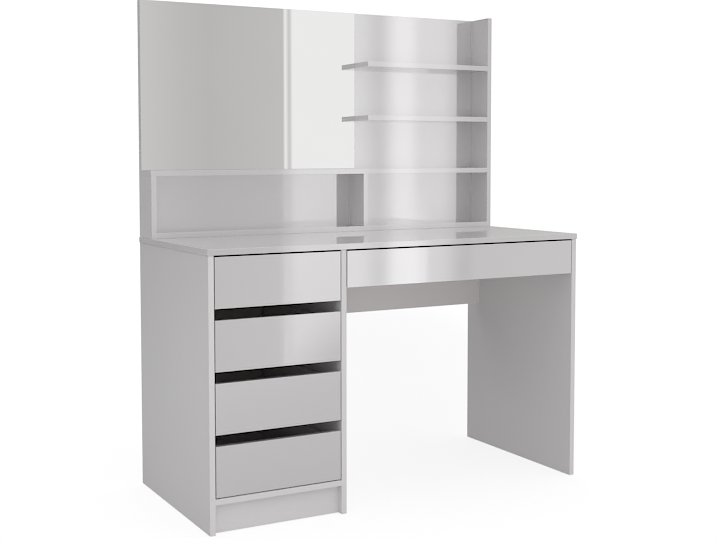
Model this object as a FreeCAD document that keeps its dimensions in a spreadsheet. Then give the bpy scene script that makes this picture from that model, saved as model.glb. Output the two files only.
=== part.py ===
import FreeCAD, Part
import os
import re
import Sketcher

# Dressing table with a mirror hutch.  Millimetres, +Z up, front towards -Y.
# Origin: centre of the footprint, on the floor.

V = FreeCAD.Vector
doc = FreeCAD.newDocument("dressing_table")

# --------------------------------------------------------------------------
# Driving dimensions
# --------------------------------------------------------------------------
DIMENSIONS = [
    # boards
    ("board_t", 16.0),        # thickness of every carcass board and front
    ("edge_r", 0.5),          # rounding of the edge banding
    ("hdf_t", 3.0),           # hardboard backs and bottoms
    ("groove_w", 3.3),        # width of the grooves that hold hardboard
    ("groove_deep", 8.0),     # groove depth in 16 mm boards
    ("slip", 0.3),            # play at the end of a groove
    # table
    ("table_h", 750.0),       # floor to table surface
    ("half_w", 608.0),        # half the carcass width
    ("mid_y", 265.0),         # carcass front edge to the origin
    ("case_d", 532.0),        # carcass depth
    ("over_x", 2.0),          # table top past the panels at each end
    ("over_y", 2.0),          # table top past the panels at the front
    ("glide_h", 2.0),         # plastic glides under the panels
    ("glide_r", 6.0),
    ("glide_in", 40.0),       # glide to panel edge
    # pedestal
    ("ped_w", 376.0),         # clear width between side panel and partition
    ("floor_gap", 81.0),      # floor to pedestal bottom board
    ("plinth_in", 18.0),      # set-back of the plinth
    ("back_in", 518.0),       # front edge to the pedestal back groove
    # knee space
    ("apron_y", 467.0),       # front edge to the knee back panel
    ("apron_z", 483.0),       # floor to its lower edge
    # hutch
    ("total_h", 1452.0),
    ("hutch_y", 427.0),       # front plane of the hutch
    ("niche_z", 933.0),       # underside of the long shelf
    ("split_x", 715.0),       # left end to the niche divider
    ("shelf_low", 1104.0),    # underside of the middle shelf
    ("shelf_high", 1275.0),   # underside of the upper shelf
    ("mirror_t", 4.0),
    ("mirror_r", 0.6),
    # drawer fronts
    ("front_gap", 2.5),       # side gap of a front
    ("front_h", 135.0),
    ("front_low", 100.0),     # floor to the lowest front
    ("front_pitch", 165.0),   # front height plus the 30 mm finger gap
    ("wide_low", 629.0),
    ("wide_h", 101.0),
    # drawer boxes
    ("box_t", 12.0),
    ("box_low", 14.0),        # lower edge of a front to the box
    ("box_h", 100.0),
    ("box_l", 450.0),
    ("wide_box_h", 70.0),
    ("wide_box_l", 400.0),
    ("box_groove", 6.0),
    ("bottom_up", 10.0),      # box edge to the bottom's groove
    ("slide_gap", 13.0),      # panel to drawer box
    # ball slides, sizes across the section from the panel face
    ("rail_t", 1.2),
    ("slide_up", 50.0),       # lower edge of a front to the slide's centre
    ("wide_slide_up", 36.0),
    ("cab_half", 22.5),
    ("cab_out", 8.5),
    ("mid_half", 17.8),
    ("mid_in", 3.0),
    ("mid_out", 10.0),
    ("rail_half", 13.1),
    ("rail_in", 5.5),
    ("cage_deep", 3.2),
    ("cage_w", 3.0),
    ("cage_outer", 4.5),
    ("cage_inner", 6.5),
    ("rail_end", 2.0),        # rail ends short of the box ends
    ("mid_end", 5.0),
    # cam locks, bolts and screws
    ("cam_r", 7.5),
    ("cam_deep", 12.4),
    ("cam_back", 34.0),       # cam centre to the joint
    ("play", 0.2),            # play round fittings
    ("bolt_r", 2.5),
    ("bolt_sink", 10.0),      # bolt depth in the mating board
    ("cam_front", 60.0),      # front cams to the front edge
    ("cam_rear", 470.0),      # rear cams to the front edge
    ("small_cam_r", 6.0),
    ("small_cam_deep", 9.4),
    ("small_cam_back", 24.0),
    ("head_r", 4.8),
    ("head_t", 2.6),
    ("neck_r", 3.4),
    ("thread_r", 2.4),
    ("thread_l", 30.0),
    ("pin_head_r", 3.5),
    ("pin_head_t", 2.0),
    ("pin_r", 1.7),
    ("pin_l", 18.0),
    # screws of the slides
    ("rail_first", 53.0),     # panel's front edge to the first screw
    ("rail_step", 32.0),      # hole spacing of the slides
    ("rail_head_r", 3.0),
    ("rail_head_t", 1.4),
    ("rail_screw_in", 10.0),  # screw depth in a panel
    ("box_screw_in", 8.5),    # screw depth in a drawer side
    ("box_first", 35.0),      # box's front end to the first screw
    ("box_last", 55.0),       # last screw to the box's rear end
]

params = doc.addObject("Spreadsheet::Sheet", "Params")
for row, (alias, value) in enumerate(DIMENSIONS, start=1):
    params.set("A%d" % row, alias)
    params.set("B%d" % row, "%g" % value)
    params.setAlias("B%d" % row, alias)
doc.recompute()


def ex(text):
    """Sheet expression for a formula written with the aliases."""
    return re.sub(r"[a-z][a-z_]*", lambda hit: "Params." + hit.group(0), text)


def place(obj, x, y, z):
    obj.setExpression("Placement.Base.x", ex(x))
    obj.setExpression("Placement.Base.y", ex(y))
    obj.setExpression("Placement.Base.z", ex(z))


def plane(body, role):
    return [f for f in body.Origin.OriginFeatures if f.Role == role][0]


NODES = []


def new_body(label):
    body = doc.addObject("PartDesign::Body", label)
    body.Label = label
    NODES.append(body)
    return body


def board(label, size, at, rounding="edge_r"):
    """A board: rectangle sketch, pad, rounded edges.  Local origin at its
    lowest corner, moved to its place by the body's placement."""
    body = new_body(label)
    sk = body.newObject("Sketcher::SketchObject", label + "_outline")
    sk.AttachmentSupport = [(plane(body, "XY_Plane"), "")]
    sk.MapMode = "FlatFace"
    corner = [V(0, 0, 0), V(90, 0, 0), V(90, 60, 0), V(0, 60, 0)]
    for i in range(4):
        sk.addGeometry(Part.LineSegment(corner[i], corner[(i + 1) % 4]), False)
    con = Sketcher.Constraint
    for i in range(4):
        sk.addConstraint(con("Coincident", i, 2, (i + 1) % 4, 1))
    sk.addConstraint(con("Horizontal", 0))
    sk.addConstraint(con("Horizontal", 2))
    sk.addConstraint(con("Vertical", 1))
    sk.addConstraint(con("Vertical", 3))
    sk.addConstraint(con("Coincident", 0, 1, -1, 1))
    n = sk.addConstraint(con("Distance", 0, 90.0))
    sk.renameConstraint(n, "span_x")
    n = sk.addConstraint(con("Distance", 1, 60.0))
    sk.renameConstraint(n, "span_y")
    sk.setExpression("Constraints.span_x", ex(size[0]))
    sk.setExpression("Constraints.span_y", ex(size[1]))
    pad = body.newObject("PartDesign::Pad", label + "_pad")
    pad.Profile = sk
    pad.setExpression("Length", ex(size[2]))
    doc.recompute()
    if rounding:
        fil = body.newObject("PartDesign::Fillet", label + "_edges")
        fil.Base = (pad, ["Edge%d" % k for k in range(1, 13)])
        fil.setExpression("Radius", ex(rounding))
        doc.recompute()
    place(body, *at)
    return body


COUNT = [0]


def name_of(body, what):
    COUNT[0] += 1
    return "%s_%s_%d" % (body.Label, what, COUNT[0])


def block(body, size, at, cut=False):
    """Box feature in a body, added or cut."""
    kind = "PartDesign::SubtractiveBox" if cut else "PartDesign::AdditiveBox"
    f = body.newObject(kind, name_of(body, "cut" if cut else "add"))
    f.setExpression("Length", ex(size[0]))
    f.setExpression("Width", ex(size[1]))
    f.setExpression("Height", ex(size[2]))
    place(f, *at)
    return f


TURN = {
    "+X": FreeCAD.Rotation(V(0, 1, 0), 90), "-X": FreeCAD.Rotation(V(0, 1, 0), -90),
    "+Y": FreeCAD.Rotation(V(1, 0, 0), -90), "-Y": FreeCAD.Rotation(V(1, 0, 0), 90),
    "+Z": FreeCAD.Rotation(), "-Z": FreeCAD.Rotation(V(1, 0, 0), 180),
}


def rod(body, radius, length, at, way, cut=False):
    """Cylinder feature in a body, from a point along a row axis."""
    kind = "PartDesign::SubtractiveCylinder" if cut else "PartDesign::AdditiveCylinder"
    f = body.newObject(kind, name_of(body, "bore" if cut else "rod"))
    f.Placement = FreeCAD.Placement(V(0, 0, 0), TURN[way])
    f.setExpression("Radius", ex(radius))
    f.setExpression("Height", ex(length))
    place(f, *at)
    return f


# --------------------------------------------------------------------------
# Lines the boards are set out from, in the part's own frame
# --------------------------------------------------------------------------
LEFT = "(-half_w)"                                   # outer left face
PED_L = "(-half_w + board_t)"                        # pedestal opening, left
PED_R = "(-half_w + board_t + ped_w)"                # pedestal opening, right
KNEE_L = "(-half_w + 2 * board_t + ped_w)"           # knee opening, left
KNEE_R = "(half_w - board_t)"                        # knee opening, right
KNEE_W = "(2 * half_w - 3 * board_t - ped_w)"
FRONT = "(-mid_y)"
UNDER = "(table_h - board_t)"                        # underside of the top
PANEL_H = "(table_h - board_t - glide_h)"
BACK_F = "(case_d - board_t)"                        # front of the hutch back
SHELF_D = "(case_d - board_t - hutch_y)"             # depth of the hutch boards
SPLIT = "(-half_w + split_x)"


def y_at(distance):
    return "-mid_y + " + distance


# --------------------------------------------------------------------------
# Table carcass
# --------------------------------------------------------------------------
tabletop = board("tabletop",
                 ("2 * half_w + 2 * over_x", "case_d + over_y", "board_t"),
                 (LEFT + " - over_x", FRONT + " - over_y", UNDER))
left_panel = board("left_side_panel", ("board_t", "case_d", PANEL_H),
                   (LEFT, FRONT, "glide_h"))
partition = board("partition_panel", ("board_t", "case_d", PANEL_H),
                  (PED_R, FRONT, "glide_h"))
right_leg = board("right_leg_panel", ("board_t", "case_d", PANEL_H),
                  (KNEE_R, FRONT, "glide_h"))
ped_bottom = board("pedestal_bottom", ("ped_w", "case_d", "board_t"),
                   (PED_L, FRONT, "floor_gap"))
plinth = board("plinth", ("ped_w", "board_t", "floor_gap - glide_h"),
               (PED_L, y_at("plinth_in"), "glide_h"))
ped_back = board("pedestal_back",
                 ("ped_w + 2 * groove_deep - 2 * slip", "hdf_t",
                  UNDER + " - floor_gap - board_t"),
                 (PED_L + " - groove_deep + slip",
                  y_at("back_in + (groove_w - hdf_t) / 2"), "floor_gap + board_t"),
                 rounding=None)
knee_back = board("knee_back_panel", (KNEE_W, "board_t", UNDER + " - apron_z"),
                  (KNEE_L, y_at("apron_y"), "apron_z"))

# grooves for the pedestal back, run the whole height of both panels
block(left_panel, ("groove_deep + 1", "groove_w", PANEL_H + " + 2"),
      ("board_t - groove_deep", "back_in", "-1"), cut=True)
block(partition, ("groove_deep + 1", "groove_w", PANEL_H + " + 2"),
      ("-1", "back_in", "-1"), cut=True)

# --------------------------------------------------------------------------
# Hutch
# --------------------------------------------------------------------------
hutch_back = board("hutch_back_panel",
                   ("2 * half_w - board_t", "board_t", "total_h - table_h"),
                   (LEFT, y_at(BACK_F), "table_h"))
hutch_side = board("hutch_right_side",
                   ("board_t", "case_d - hutch_y", "total_h - table_h"),
                   (KNEE_R, y_at("hutch_y"), "table_h"))
hutch_floor = board("hutch_bottom_board",
                    ("2 * half_w - 2 * board_t", SHELF_D, "board_t"),
                    (PED_L, y_at("hutch_y"), "table_h"))
niche_left = board("niche_left_side",
                   ("board_t", SHELF_D, "niche_z - table_h"),
                   (LEFT, y_at("hutch_y"), "table_h"))
divider = board("niche_divider",
                ("board_t", SHELF_D, "niche_z - table_h - board_t"),
                (SPLIT, y_at("hutch_y"), "table_h + board_t"))
long_shelf = board("long_shelf", ("2 * half_w - board_t", SHELF_D, "board_t"),
                   (LEFT, y_at("hutch_y"), "niche_z"))
SHORT_W = "(2 * half_w - 2 * board_t - split_x)"
mid_shelf = board("middle_shelf", (SHORT_W, SHELF_D, "board_t"),
                  (SPLIT + " + board_t", y_at("hutch_y"), "shelf_low"))
top_shelf = board("upper_shelf", (SHORT_W, SHELF_D, "board_t"),
                  (SPLIT + " + board_t", y_at("hutch_y"), "shelf_high"))
mirror = board("mirror_glass",
               ("split_x + board_t", "mirror_t", "total_h - niche_z - board_t"),
               (LEFT, y_at(BACK_F + " - mirror_t"), "niche_z + board_t"),
               rounding="mirror_r")

# --------------------------------------------------------------------------
# Fittings of the carcass: cam locks, bolts and screws, with their bores
# --------------------------------------------------------------------------
fittings = new_body("carcass_fittings")
LOOSE = " + play"


def cam(x, y, z, way):
    """Cam disc, from just under the surface inwards."""
    rod(fittings, "cam_r", "cam_deep", (x, y, z), way)


def bolt(x, y, z, way):
    """Bolt from its seat in the mating board to the edge of the cam."""
    rod(fittings, "bolt_r", "bolt_sink - play + cam_back - cam_r - play", (x, y, z), way)


# table top on the three panels: bolts stand in the panels' top edges
for panel, centre, face, way, inset in (
        (left_panel, LEFT + " + board_t / 2", PED_L, "-X", "board_t"),
        (partition, PED_R + " + board_t / 2", PED_R, "+X", "0"),
        (right_leg, KNEE_R + " + board_t / 2", KNEE_R, "+X", "0")):
    mouth = inset + (" + 1" if way == "-X" else " - 1")
    for spot in ("cam_front", "cam_rear"):
        rod(panel, "cam_r" + LOOSE, "cam_deep + 2 * play + 1",
            (mouth, spot, PANEL_H + " - cam_back"), way, cut=True)
        rod(panel, "bolt_r" + LOOSE, "cam_back + 1",
            ("board_t / 2", spot, PANEL_H + " + 1"), "-Z", cut=True)
        rod(tabletop, "bolt_r" + LOOSE, "bolt_sink + 1",
            (centre + " + half_w + over_x", spot + " + over_y", "-1"), "+Z", cut=True)
        sign = "-" if way == "-X" else "+"
        cam(face + sign + "play", y_at(spot), UNDER + " - cam_back", way)
        bolt(centre, y_at(spot), UNDER + " + bolt_sink - play", "-Z")

# pedestal bottom between side panel and partition: cams from below
for spot in ("cam_front", "cam_rear"):
    for end, way, out in (("cam_back", "-X", left_panel),
                          ("ped_w - cam_back", "+X", partition)):
        rod(ped_bottom, "cam_r" + LOOSE, "cam_deep + 2 * play + 1",
            (end, spot, "-1"), "+Z", cut=True)
        rod(ped_bottom, "bolt_r" + LOOSE, "cam_back + 1",
            (("-1" if way == "-X" else "ped_w + 1"), spot, "board_t / 2"),
            "+X" if way == "-X" else "-X", cut=True)
        height = "floor_gap - glide_h + board_t / 2"
        if way == "-X":
            rod(out, "bolt_r" + LOOSE, "bolt_sink + 1",
                ("board_t + 1", spot, height), "-X", cut=True)
            bolt(PED_L + " - bolt_sink + play", y_at(spot), "floor_gap + board_t / 2", "+X")
        else:
            rod(out, "bolt_r" + LOOSE, "bolt_sink + 1", ("-1", spot, height), "+X", cut=True)
            bolt(PED_R + " + bolt_sink - play", y_at(spot), "floor_gap + board_t / 2", "-X")
        cam(PED_L + " + " + end, y_at(spot), "floor_gap + play", "+Z")

# plinth and knee back panel: cams in their rear faces
CROSS = [(plinth, "ped_w", PED_L, PED_R, "plinth_in", "glide_h",
          ["floor_gap / 2"], left_panel, partition, "board_t", "0"),
         (knee_back, KNEE_W, KNEE_L, KNEE_R, "apron_y", "apron_z",
          ["apron_z + 40", UNDER + " - 44"], partition, right_leg, "board_t", "0")]
for item, width, lo_x, hi_x, set_y, base_z, levels, lo_panel, hi_panel, lo_in, hi_in in CROSS:
    mid = set_y + " + board_t / 2"
    for z in levels:
        up = z + " - " + base_z
        for end, low in (("cam_back", True), (width + " - cam_back", False)):
            rod(item, "cam_r" + LOOSE, "cam_deep + 2 * play + 1",
                (end, "board_t + 1", up), "-Y", cut=True)
            rod(item, "bolt_r" + LOOSE, "cam_back + 1",
                ("-1" if low else width + " + 1", "board_t / 2", up),
                "+X" if low else "-X", cut=True)
            cam((lo_x if low else hi_x) + (" + cam_back" if low else " - cam_back"),
                y_at(set_y + " + board_t - play"), z, "-Y")
            if low:
                rod(lo_panel, "bolt_r" + LOOSE, "bolt_sink + 1",
                    (lo_in + " + 1", mid, z + " - glide_h"), "-X", cut=True)
                bolt(lo_x + " - bolt_sink + play", y_at(mid), z, "+X")
            else:
                rod(hi_panel, "bolt_r" + LOOSE, "bolt_sink + 1",
                    (hi_in + " - 1", mid, z + " - glide_h"), "+X", cut=True)
                bolt(hi_x + " + bolt_sink - play", y_at(mid), z, "-X")

# hutch back to hutch right side: cams in the rear face of the back
for z in ("table_h + 50", "table_h + 350", "total_h - 50"):
    up = z + " - table_h"
    rod(hutch_back, "cam_r" + LOOSE, "cam_deep + 2 * play + 1",
        ("2 * half_w - board_t - cam_back", "board_t + 1", up), "-Y", cut=True)
    rod(hutch_back, "bolt_r" + LOOSE, "cam_back + 1",
        ("2 * half_w - board_t + 1", "board_t / 2", up), "-X", cut=True)
    rod(hutch_side, "bolt_r" + LOOSE, "bolt_sink + 1",
        ("-1", "case_d - hutch_y - board_t / 2", up), "+X", cut=True)
    cam(KNEE_R + " - cam_back", y_at("case_d - play"), z, "-Y")
    bolt(KNEE_R + " + bolt_sink - play", y_at("case_d - board_t / 2"), z, "-X")


def screw(x, y, z, way, deep):
    """Screw with a sunk head: head, neck through 16 mm, thread."""
    back = {"-Y": (0, -1, 0), "+Z": (0, 0, 1)}[way]

    def at(step):
        return tuple((c if k == 0 else "%s %s (%s)" % (c, "+" if k > 0 else "-", step))
                     for c, k in zip((x, y, z), back))
    rod(fittings, "head_r", "head_t", at("play"), way)
    rod(fittings, "neck_r", "board_t - head_t - 2 * play", at("play + head_t"), way)
    rod(fittings, "thread_r", deep, at("board_t - play"), way)


# hutch boards screwed through the back, heads in its rear face
THROUGH = []
for x in ("100", "420", "640", "1000"):
    THROUGH.append((long_shelf, x, "niche_z + board_t / 2", "0", "niche_z"))
for x in ("800", "1120"):
    THROUGH.append((mid_shelf, x, "shelf_low + board_t / 2", "split_x + board_t", "shelf_low"))
    THROUGH.append((top_shelf, x, "shelf_high + board_t / 2", "split_x + board_t", "shelf_high"))
for x in ("120", "600", "1080"):
    THROUGH.append((hutch_floor, x, "table_h + board_t / 2", "board_t", "table_h"))
THROUGH.append((niche_left, "board_t / 2", "table_h + 100", "0", "table_h"))
THROUGH.append((divider, "split_x + board_t / 2", "table_h + 100", "split_x",
                "table_h + board_t"))
for item, x, z, item_x, item_z in THROUGH:
    rod(hutch_back, "head_r" + LOOSE, "head_t + 2 * play + 1",
        (x, "board_t + 1", z + " - table_h"), "-Y", cut=True)
    rod(hutch_back, "neck_r" + LOOSE, "board_t + 2",
        (x, "board_t + 1", z + " - table_h"), "-Y", cut=True)
    rod(item, "thread_r" + LOOSE, "thread_l + 1",
        ("%s - (%s)" % (x, item_x), SHELF_D + " + 1", "%s - (%s)" % (z, item_z)),
        "-Y", cut=True)
    screw(LEFT + " + " + x, y_at("case_d"), z, "-Y", "thread_l - 2 * play")

# hutch back screwed from under the table top
for x in ("460", "800", "1150"):
    rod(tabletop, "head_r" + LOOSE, "head_t + 2 * play + 1",
        (x + " + over_x", "case_d - board_t / 2 + over_y", "-1"), "+Z", cut=True)
    rod(tabletop, "neck_r" + LOOSE, "board_t + 2",
        (x + " + over_x", "case_d - board_t / 2 + over_y", "-1"), "+Z", cut=True)
    rod(hutch_back, "thread_r" + LOOSE, "thread_l + 1",
        (x, "board_t / 2", "-1"), "+Z", cut=True)
    screw(LEFT + " + " + x, y_at("case_d - board_t / 2"), UNDER, "+Z", "thread_l - 2 * play")

# glides under the panels
glides = new_body("floor_glides")
for x in (LEFT + " + board_t / 2", PED_R + " + board_t / 2", KNEE_R + " + board_t / 2"):
    for y in ("glide_in", "case_d - glide_in"):
        rod(glides, "glide_r", "glide_h", (x, y_at(y), "0"), "+Z")

# --------------------------------------------------------------------------
# Drawers
# --------------------------------------------------------------------------
cabinet_rails = new_body("cabinet_rails")


def channel(body, side, lo_x, width, inner, outer, half, hollow_in, hollow_out, y, length, z):
    """Rail of C section.  inner and outer are measured from the panel face;
    the hollow runs from hollow_in to hollow_out between the flanges."""
    def x_at(near, far):
        if side == "left":
            return "%s + (%s)" % (lo_x, near)
        return "%s + %s - (%s)" % (lo_x, width, far)
    block(body, ("%s - (%s)" % (outer, inner), length, "2 * " + half),
          (x_at(inner, outer), y, "%s - %s" % (z, half)))
    block(body, ("%s - (%s)" % (hollow_out, hollow_in), length + " + 2",
                 "2 * %s - 2 * rail_t" % half),
          (x_at(hollow_in, hollow_out), y + " - 1", "%s - %s + rail_t" % (z, half)), cut=True)


def strip(body, side, lo_x, width, near, z, y, length):
    """Ball cage: a strip beside a flange."""
    x = ("%s + %s" % (lo_x, near) if side == "left"
         else "%s + %s - %s - cage_w" % (lo_x, width, near))
    block(body, ("cage_w", length, "cage_deep"), (x, y, z))


def drawer(tag, lo_x, width, low, front_high, box_high, length, slide_z, walls, steps):
    """One drawer: front, box, bottom, fittings, and the two moving members
    of its pair of slides; the fixed members go on the panels."""
    front = board(tag + "_front", (width + " - 2 * front_gap", "board_t", front_high),
                  (lo_x + " + front_gap", FRONT, low))
    base = low + " + box_low"
    begin = y_at("board_t")
    in_w = width + " - 2 * slide_gap - 2 * box_t"
    left = board(tag + "_left_side", ("box_t", length, box_high),
                 (lo_x + " + slide_gap", begin, base))
    right = board(tag + "_right_side", ("box_t", length, box_high),
                  (lo_x + " + " + width + " - slide_gap - box_t", begin, base))
    rear = board(tag + "_back", (in_w, "box_t", box_high),
                 (lo_x + " + slide_gap + box_t", begin + " + " + length + " - box_t", base))
    board(tag + "_bottom",
          (in_w + " + 2 * box_groove - 2 * slip",
           length + " - box_t + 2 * box_groove - 2 * slip", "hdf_t"),
          (lo_x + " + slide_gap + box_t - box_groove + slip",
           begin + " - box_groove + slip",
           base + " + bottom_up + (groove_w - hdf_t) / 2"), rounding=None)
    # groove for the bottom, all round
    block(left, ("box_groove + 1", length + " + 2", "groove_w"),
          ("box_t - box_groove", "-1", "bottom_up"), cut=True)
    block(right, ("box_groove + 1", length + " + 2", "groove_w"),
          ("-1", "-1", "bottom_up"), cut=True)
    block(rear, (in_w + " + 2", "box_groove + 1", "groove_w"), ("-1", "-1", "bottom_up"),
          cut=True)
    block(front, (in_w + " + 2 * box_groove", "box_groove + 1", "groove_w"),
          ("slide_gap - front_gap + box_t - box_groove", "board_t - box_groove",
           "box_low + bottom_up"), cut=True)

    # cams in the sides draw the front up; screws hold the back
    fit = new_body(tag + "_fittings")
    up = box_high + " / 2 + 6"
    for side, x_cam, way, mouth in (
            (left, lo_x + " + slide_gap + box_t - play", "-X", "box_t + 1"),
            (right, lo_x + " + " + width + " - slide_gap - box_t + play", "+X", "-1")):
        rod(side, "small_cam_r" + LOOSE, "small_cam_deep + 2 * play + 1",
            (mouth, "small_cam_back", up), way, cut=True)
        rod(side, "bolt_r" + LOOSE, "small_cam_back + 1", ("box_t / 2", "-1", up), "+Y",
            cut=True)
        rod(fit, "small_cam_r", "small_cam_deep",
            (x_cam, begin + " + small_cam_back", base + " + " + up), way)
    for x in ("slide_gap + box_t / 2", width + " - slide_gap - box_t / 2"):
        rod(front, "bolt_r" + LOOSE, "bolt_sink + 1",
            (x + " - front_gap", "board_t + 1", "box_low + " + up), "-Y", cut=True)
        rod(fit, "bolt_r", "bolt_sink - play + small_cam_back - small_cam_r - play",
            (lo_x + " + " + x, begin + " - bolt_sink + play", base + " + " + up), "+Y")
    for z in (box_high + " - 12", box_high + " - 30"):
        rear_y = length + " - box_t / 2"
        for side, mouth, way, x in ((left, "-1", "+X", "slide_gap"),
                                    (right, "box_t + 1", "-X", width + " - slide_gap")):
            sign = "+" if way == "+X" else "-"
            rod(side, "pin_head_r" + LOOSE, "pin_head_t + 2 * play + 1",
                (mouth, rear_y, z), way, cut=True)
            rod(side, "pin_r" + LOOSE, "box_t + 2", (mouth, rear_y, z), way, cut=True)
            rod(fit, "pin_head_r", "pin_head_t",
                ("%s + %s %s play" % (lo_x, x, sign), begin + " + " + rear_y, base + " + " + z),
                way)
            rod(fit, "pin_r", "box_t + pin_l - pin_head_t - 2 * play",
                ("%s + %s %s (play + pin_head_t)" % (lo_x, x, sign),
                 begin + " + " + rear_y, base + " + " + z), way)
        rod(rear, "pin_r" + LOOSE, "pin_l + 1", ("-1", "box_t / 2", z), "+X", cut=True)
        rod(rear, "pin_r" + LOOSE, "pin_l + 1", (in_w + " + 1", "box_t / 2", z), "-X", cut=True)

    rails = new_body(tag + "_slide_rails")
    middle = new_body(tag + "_middle_rails")
    run = length + " - 2 * rail_end"
    mid_run = length + " - 2 * mid_end"
    start = begin + " + rail_end"
    mid_start = begin + " + mid_end"
    for side in ("left", "right"):
        channel(cabinet_rails, side, lo_x, width, "0", "cab_out", "cab_half",
                "rail_t", "cab_out + 1", start, run, slide_z)
        channel(rails, side, lo_x, width, "rail_in", "slide_gap", "rail_half",
                "rail_in - 1", "slide_gap - rail_t", start, run, slide_z)
        channel(middle, side, lo_x, width, "mid_in", "mid_out", "mid_half",
                "mid_in + rail_t", "mid_out + 1", mid_start, mid_run, slide_z)
        for z in (slide_z + " + mid_half", slide_z + " - mid_half - cage_deep"):
            strip(middle, side, lo_x, width, "cage_outer", z, mid_start, mid_run)
        for z in (slide_z + " + mid_half - rail_t - cage_deep",
                  slide_z + " - mid_half + rail_t"):
            strip(middle, side, lo_x, width, "cage_inner", z, mid_start, mid_run)

    # screws in the hollows of the slides: cabinet rails on the panels, drawer
    # rails on the box sides
    hole = "pin_r" + LOOSE
    through = "rail_t + 2"
    panel_z = slide_z + " - glide_h"
    for step in ("0", "6", steps):
        spot = "rail_first + %s * rail_step" % step
        seat = lo_x + " + rail_t"
        rod(cabinet_rails, hole, through, (lo_x + " - 1", y_at(spot), slide_z), "+X", cut=True)
        rod(walls[0], hole, "rail_screw_in + play + 1",
            ("board_t + 1", spot, panel_z), "-X", cut=True)
        rod(fittings, "rail_head_r", "rail_head_t", (seat, y_at(spot), slide_z), "+X")
        rod(fittings, "pin_r", "rail_t + rail_screw_in", (seat, y_at(spot), slide_z), "-X")
        seat = lo_x + " + " + width + " - rail_t"
        rod(cabinet_rails, hole, through, (seat + " - 1", y_at(spot), slide_z), "+X", cut=True)
        rod(walls[1], hole, "rail_screw_in + play + 1", ("-1", spot, panel_z), "+X", cut=True)
        rod(fittings, "rail_head_r", "rail_head_t", (seat, y_at(spot), slide_z), "-X")
        rod(fittings, "pin_r", "rail_t + rail_screw_in", (seat, y_at(spot), slide_z), "+X")
    box_z = slide_z + " - (" + base + ")"
    for spot in ("box_first", length + " - box_last"):
        y = begin + " + " + spot
        seat = lo_x + " + slide_gap - rail_t"
        rod(rails, hole, through, (seat + " - 1", y, slide_z), "+X", cut=True)
        rod(left, hole, "box_screw_in + play + 1", ("-1", spot, box_z), "+X", cut=True)
        rod(fit, "rail_head_r", "rail_head_t", (seat, y, slide_z), "-X")
        rod(fit, "pin_r", "rail_t + box_screw_in", (seat, y, slide_z), "+X")
        seat = lo_x + " + " + width + " - slide_gap + rail_t"
        rod(rails, hole, through, (seat + " + 1", y, slide_z), "-X", cut=True)
        rod(right, hole, "box_screw_in + play + 1", ("box_t + 1", spot, box_z), "-X", cut=True)
        rod(fit, "rail_head_r", "rail_head_t", (seat, y, slide_z), "+X")
        rod(fit, "pin_r", "rail_t + box_screw_in", (seat, y, slide_z), "-X")


for number in (1, 2, 3, 4):
    low = "(front_low + %d * front_pitch)" % (4 - number)
    drawer("drawer_%d" % number, PED_L, "ped_w", low, "front_h", "box_h", "box_l",
           "(%s + slide_up)" % low, (left_panel, partition), "12")
drawer("wide_drawer", KNEE_L, KNEE_W, "wide_low", "wide_h", "wide_box_h", "wide_box_l",
       "(wide_low + wide_slide_up)", (partition, right_leg), "10")

# --------------------------------------------------------------------------
# Checks and files
# --------------------------------------------------------------------------
doc.recompute()
faults = []
for obj in doc.Objects:
    bad = [s for s in obj.State if s in ("Invalid", "Error")]
    if bad:
        faults.append("%s: %s" % (obj.Name, ",".join(bad)))
for obj in NODES:
    if obj.Shape.isNull() or not obj.Shape.isValid() or not obj.Shape.Solids:
        faults.append("%s: no valid shape" % obj.Label)
if faults:
    raise RuntimeError("model faults: " + "; ".join(faults))

os.makedirs("parts", exist_ok=True)
low = V(1e9, 1e9, 1e9)
high = V(-1e9, -1e9, -1e9)
for obj in NODES:
    box = obj.Shape.BoundBox
    low = V(min(low.x, box.XMin), min(low.y, box.YMin), min(low.z, box.ZMin))
    high = V(max(high.x, box.XMax), max(high.y, box.YMax), max(high.z, box.ZMax))
    print("%-28s solids %2d  volume %10.1f  X %8.2f %8.2f  Y %8.2f %8.2f  Z %8.2f %8.2f"
          % (obj.Label, len(obj.Shape.Solids), obj.Shape.Volume, box.XMin, box.XMax,
             box.YMin, box.YMax, box.ZMin, box.ZMax))
    obj.Shape.exportStep("parts/%s.step" % obj.Label)
print("nodes %d, box %.2f %.2f %.2f to %.2f %.2f %.2f"
      % (len(NODES), low.x, low.y, low.z, high.x, high.y, high.z))
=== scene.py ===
import math

import bmesh
import bpy
from mathutils import Matrix, Vector


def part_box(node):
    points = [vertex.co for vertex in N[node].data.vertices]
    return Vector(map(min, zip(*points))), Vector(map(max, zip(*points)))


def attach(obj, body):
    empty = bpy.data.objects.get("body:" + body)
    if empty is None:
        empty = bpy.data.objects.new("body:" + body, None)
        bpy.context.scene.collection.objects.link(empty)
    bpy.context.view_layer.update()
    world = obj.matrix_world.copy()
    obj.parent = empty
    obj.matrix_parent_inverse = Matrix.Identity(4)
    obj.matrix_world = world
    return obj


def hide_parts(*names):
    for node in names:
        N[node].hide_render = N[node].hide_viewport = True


# White gloss dressing table with a mirror hutch: finishes, small hardware,
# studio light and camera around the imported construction.

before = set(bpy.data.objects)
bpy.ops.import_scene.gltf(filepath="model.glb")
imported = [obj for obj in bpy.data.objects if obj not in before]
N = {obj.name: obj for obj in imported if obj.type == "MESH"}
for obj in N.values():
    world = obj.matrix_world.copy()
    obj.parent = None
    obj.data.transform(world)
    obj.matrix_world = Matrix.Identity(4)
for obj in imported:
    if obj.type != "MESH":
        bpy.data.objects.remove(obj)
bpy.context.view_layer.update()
scene = bpy.context.scene
DRAWERS = ["drawer_1", "drawer_2", "drawer_3", "drawer_4", "wide_drawer"]

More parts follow.
